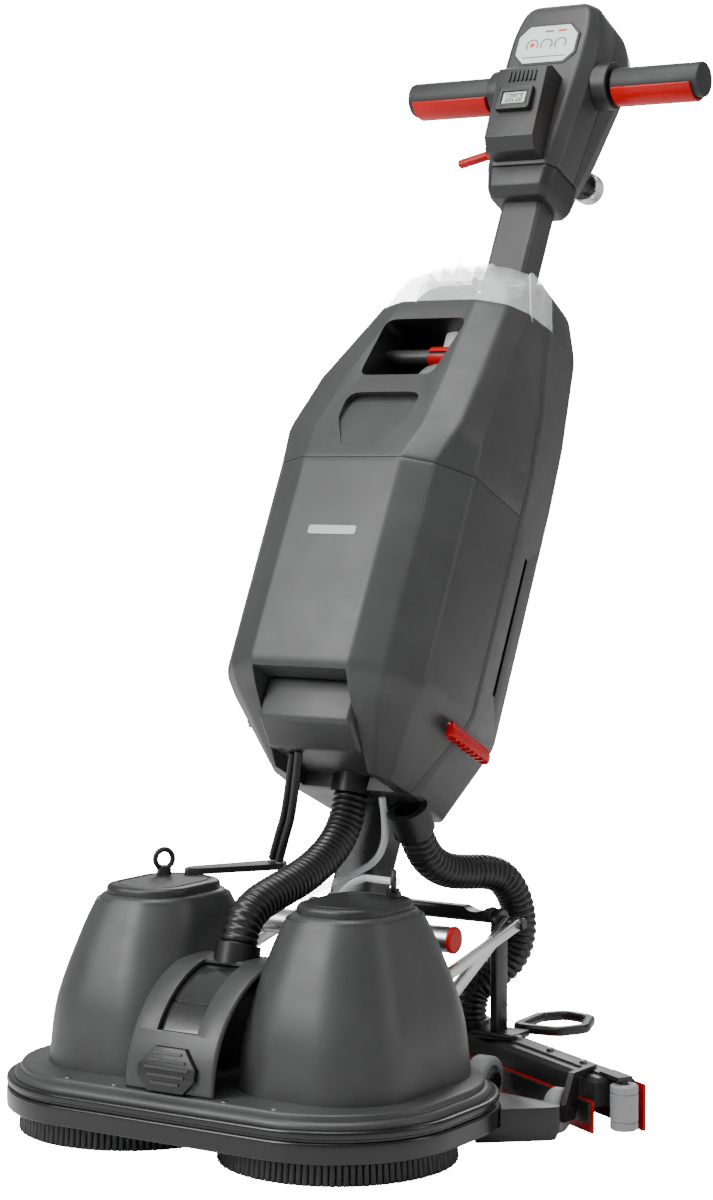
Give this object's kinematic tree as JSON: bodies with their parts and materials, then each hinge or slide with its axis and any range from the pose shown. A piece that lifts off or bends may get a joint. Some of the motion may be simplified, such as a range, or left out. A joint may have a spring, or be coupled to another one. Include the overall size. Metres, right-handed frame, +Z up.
{
  "type": "wet dry floor scrubber",
  "caption": "Upright walk-behind wet dry floor scrubber: twin brush deck with motor domes, tilting tank column with T handle, and a trailing V-shaped squeegee.",
  "frame": {"origin": "on the floor, at the middle of the whole machine's outline", "axes": "+Z up; -Y forwards, towards the brushes; +Y towards the operator and the squeegee; X across the machine"},
  "size_m": [0.6088, 0.8253, 1.1049],
  "materials": {
    "shell_grey": "satin moulded grey",
    "shell_dark": "satin moulded near-black",
    "deck_black": "glossy black",
    "frame_black": "black powder coat",
    "steel": "brushed",
    "smoked_drum": "smooth dark",
    "bright_tube": "satin silver",
    "hose_black": "ribbed black",
    "cable_black": "smooth black",
    "clear_tube": "clear flexible tube",
    "brush_block": "moulded dark",
    "bristle": "dark nylon tufts",
    "wheel_grey": "grey tread",
    "column_grey": "satin grey coat",
    "battery_black": "moulded black",
    "white_pipe": "off-white",
    "red_plastic": "glossy red",
    "meter_black": "satin black",
    "grip_rubber": "soft black",
    "clear_lid": "clear moulded",
    "chrome_knob": "knurled chrome",
    "blade_rubber": "dark rubber"
  },
  "bodies": {
    "deck": {"deck_plate": "deck_black", "bumper_band": "deck_black", "motor_domes": "shell_grey", "dome_caps": "shell_dark", "brush_motors": "steel", "arch_cover": "shell_grey", "window_drum": "smoked_drum", "grille_badge": "shell_dark", "front_hose_socket": "deck_black", "deck_brackets": "frame_black", "hinge_pin": "steel", "side_wings": "deck_black", "step_bars": "bright_tube", "front_hose": "hose_black", "motor_cables": "cable_black", "water_tube": "clear_tube"},
    "brush_left": {"brush_left": "brush_block", "bristles_left": "bristle"},
    "brush_right": {"brush_right": "brush_block", "bristles_right": "bristle"},
    "transport_wheel_left": {"transport_wheel_left": "wheel_grey"},
    "transport_wheel_right": {"transport_wheel_right": "wheel_grey"},
    "column": {"column_tube": "column_grey", "recovery_tank": "shell_grey", "solution_tank": "shell_grey", "power_box": "shell_dark", "rear_housing": "shell_dark", "battery": "battery_black", "suction_motor": "steel", "suction_pipe": "white_pipe", "carry_bar": "shell_dark", "carry_catch": "red_plastic", "column_pins": "steel", "hose_cuffs": "deck_black", "head_front": "shell_grey", "head_rear": "shell_dark", "head_collar": "shell_dark", "meter_box": "meter_black", "handlebar": "shell_dark", "grips": "grip_rubber", "rear_hose_top": "hose_black"},
    "lid": {"tank_lid": "clear_lid"},
    "latch_left": {"tank_latch_left": "red_plastic"},
    "latch_right": {"tank_latch_right": "red_plastic"},
    "lever": {"release_lever": "red_plastic"},
    "knob": {"clamp_knob": "chrome_knob"},
    "trigger_left": {"trigger_left": "red_plastic"},
    "trigger_right": {"trigger_right": "red_plastic"},
    "squeegee": {"squeegee_carrier": "frame_black", "squeegee_frame": "frame_black", "foot_loops": "frame_black", "front_blade": "blade_rubber", "rear_blade": "blade_rubber", "lift_struts": "bright_tube", "wheel_forks": "frame_black", "rear_hose_bottom": "hose_black"},
    "guide_wheel_left": {"guide_wheel_left": "wheel_grey"},
    "guide_wheel_right": {"guide_wheel_right": "wheel_grey"},
    "end_roller_left": {"end_roller_left": "wheel_grey"},
    "end_roller_right": {"end_roller_right": "wheel_grey"}
  },
  "joints": [
    {"name": "brush_spin_left", "type": "hinge", "parent": "deck", "child": "brush_left", "pos_m": [-0.113, -0.294, 0.05], "axis": [0, 0, 1], "continuous": true},
    {"name": "brush_spin_right", "type": "hinge", "parent": "deck", "child": "brush_right", "pos_m": [0.113, -0.294, 0.05], "axis": [0, 0, 1], "continuous": true},
    {"name": "transport_wheel_left_spin", "type": "hinge", "parent": "deck", "child": "transport_wheel_left", "pos_m": [-0.124, -0.054, 0.024], "axis": [1, 0, 0], "continuous": true},
    {"name": "transport_wheel_right_spin", "type": "hinge", "parent": "deck", "child": "transport_wheel_right", "pos_m": [0.124, -0.054, 0.024], "axis": [1, 0, 0], "continuous": true},
    {"name": "column_tilt", "type": "hinge", "parent": "deck", "child": "column", "pos_m": [0, -0.133, 0.095], "axis": [-1, 0, 0], "range_deg": [-25.9, 18], "deforming": ["front_hose", "motor_cables", "water_tube", "rear_hose_top", "rear_hose_bottom"]},
    {"name": "squeegee_lift", "type": "hinge", "parent": "deck", "child": "squeegee", "pos_m": [0, -0.13, 0.086], "axis": [1, 0, 0], "range_deg": [0, 8], "deforming": ["rear_hose_bottom"]},
    {"name": "tank_lid_hinge", "type": "hinge", "parent": "column", "child": "lid", "pos_m": [0, 0.15072, 0.79376], "axis": [-1, 0, 0], "range_deg": [0, 60]},
    {"name": "tank_latch_left_turn", "type": "hinge", "parent": "column", "child": "latch_left", "pos_m": [-0.112, -0.06533, 0.3534], "axis": [0, 0.8996, -0.4368], "range_deg": [0, 40]},
    {"name": "tank_latch_right_turn", "type": "hinge", "parent": "column", "child": "latch_right", "pos_m": [0.112, -0.06533, 0.3534], "axis": [0, -0.8996, 0.4368], "range_deg": [0, 40]},
    {"name": "release_lever_turn", "type": "hinge", "parent": "column", "child": "lever", "pos_m": [-0.056, 0.26772, 0.94315], "axis": [0, 0.8996, -0.4368], "range_deg": [-20, 25]},
    {"name": "clamp_knob_turn", "type": "hinge", "parent": "column", "child": "knob", "pos_m": [0.02, 0.3427, 0.90827], "axis": [0, 0.9851, -0.1719], "continuous": true},
    {"name": "trigger_left_pull", "type": "hinge", "parent": "column", "child": "trigger_left", "pos_m": [-0.122, 0.3075, 1.01133], "axis": [1, 0, 0], "range_deg": [0, 10], "stiffness_Nm_per_rad": 2},
    {"name": "trigger_right_pull", "type": "hinge", "parent": "column", "child": "trigger_right", "pos_m": [0.122, 0.3075, 1.01133], "axis": [1, 0, 0], "range_deg": [0, 10], "stiffness_Nm_per_rad": 2},
    {"name": "guide_wheel_left_spin", "type": "hinge", "parent": "squeegee", "child": "guide_wheel_left", "pos_m": [-0.236, -0.112, 0.021], "axis": [1, 0, 0], "continuous": true},
    {"name": "guide_wheel_right_spin", "type": "hinge", "parent": "squeegee", "child": "guide_wheel_right", "pos_m": [0.236, -0.112, 0.021], "axis": [1, 0, 0], "continuous": true},
    {"name": "end_roller_left_spin", "type": "hinge", "parent": "squeegee", "child": "end_roller_left", "pos_m": [-0.29139, -0.08629, 0.03], "axis": [0, 0, 1], "continuous": true},
    {"name": "end_roller_right_spin", "type": "hinge", "parent": "squeegee", "child": "end_roller_right", "pos_m": [0.29139, -0.08629, 0.03], "axis": [0, 0, 1], "continuous": true}
  ]
}
